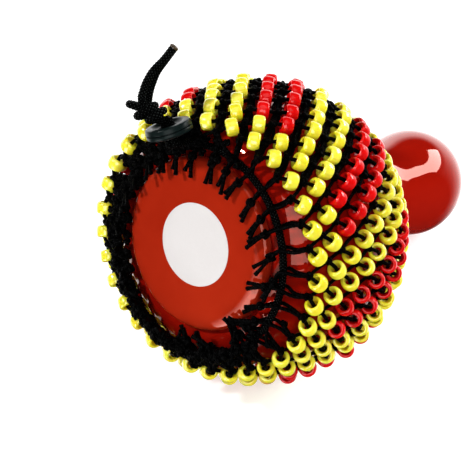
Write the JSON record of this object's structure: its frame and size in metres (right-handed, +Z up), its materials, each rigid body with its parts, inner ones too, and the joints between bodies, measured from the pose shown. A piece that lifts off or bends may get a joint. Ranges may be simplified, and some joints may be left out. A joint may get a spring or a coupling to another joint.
{
  "type": "cabasa",
  "caption": "Gourd-shaped hand percussion instrument with a knobbed handle, wrapped in a loose knotted net of plastic beads that turns round the bulb; the net is closed by a drawstring.",
  "frame": {"origin": "bottom centre of the instrument's box as it lies on its side, on the plane it rests on; the free tails and their knot are not counted", "axes": "+Y from the flat foot towards the knob of the handle, +X to the right when facing the foot, +Z up"},
  "size_m": [0.1574, 0.2316, 0.1907],
  "materials": {
    "red_lacquer": "glossy red gelcoat over fibreglass",
    "yellow_bead": "glossy opaque yellow moulded beads on black cord",
    "red_bead": "glossy opaque red moulded beads on black cord",
    "black_cord": "black braided nylon cord",
    "black_plastic": "semi-gloss black moulded plastic"
  },
  "bodies": {
    "gourd": {"gourd_shell": "red_lacquer", "foot_disc": "red_lacquer"},
    "bead_net": {"red_string_01": "red_bead", "yellow_string_02": "yellow_bead", "yellow_string_03": "yellow_bead", "red_string_04": "red_bead", "red_string_05": "red_bead", "yellow_string_06": "yellow_bead", "yellow_string_07": "yellow_bead", "red_string_08": "red_bead", "red_string_09": "red_bead", "yellow_string_10": "yellow_bead", "yellow_string_11": "yellow_bead", "red_string_12": "red_bead", "red_string_13": "red_bead", "yellow_string_14": "yellow_bead", "yellow_string_15": "yellow_bead", "red_string_16": "red_bead", "red_string_17": "red_bead", "yellow_string_18": "yellow_bead", "yellow_string_19": "yellow_bead", "red_string_20": "red_bead", "red_string_21": "red_bead", "yellow_string_22": "yellow_bead", "yellow_string_23": "yellow_bead", "red_string_24": "red_bead", "red_string_25": "red_bead", "yellow_string_26": "yellow_bead", "yellow_string_27": "yellow_bead", "red_string_28": "red_bead", "red_string_29": "red_bead", "yellow_string_30": "yellow_bead", "yellow_string_31": "yellow_bead", "red_string_32": "red_bead", "drawstring": "black_cord", "neck_collar": "black_cord", "stop_knot": "black_cord", "drawstring_tail_1": "black_cord", "drawstring_tail_2": "black_cord"},
    "cord_stop": {"cord_stop": "black_plastic"}
  },
  "joints": [
    {"name": "net_spin", "type": "hinge", "parent": "gourd", "child": "bead_net", "pos_m": [-0.00063, -0.09589, 0.09595], "axis": [0, 0.9397, -0.342], "continuous": true},
    {"name": "stop_slide", "type": "slide", "parent": "bead_net", "child": "cord_stop", "axis": [0.4585, -0.0871, -0.8844], "range_m": [0, 0.003]}
  ]
}
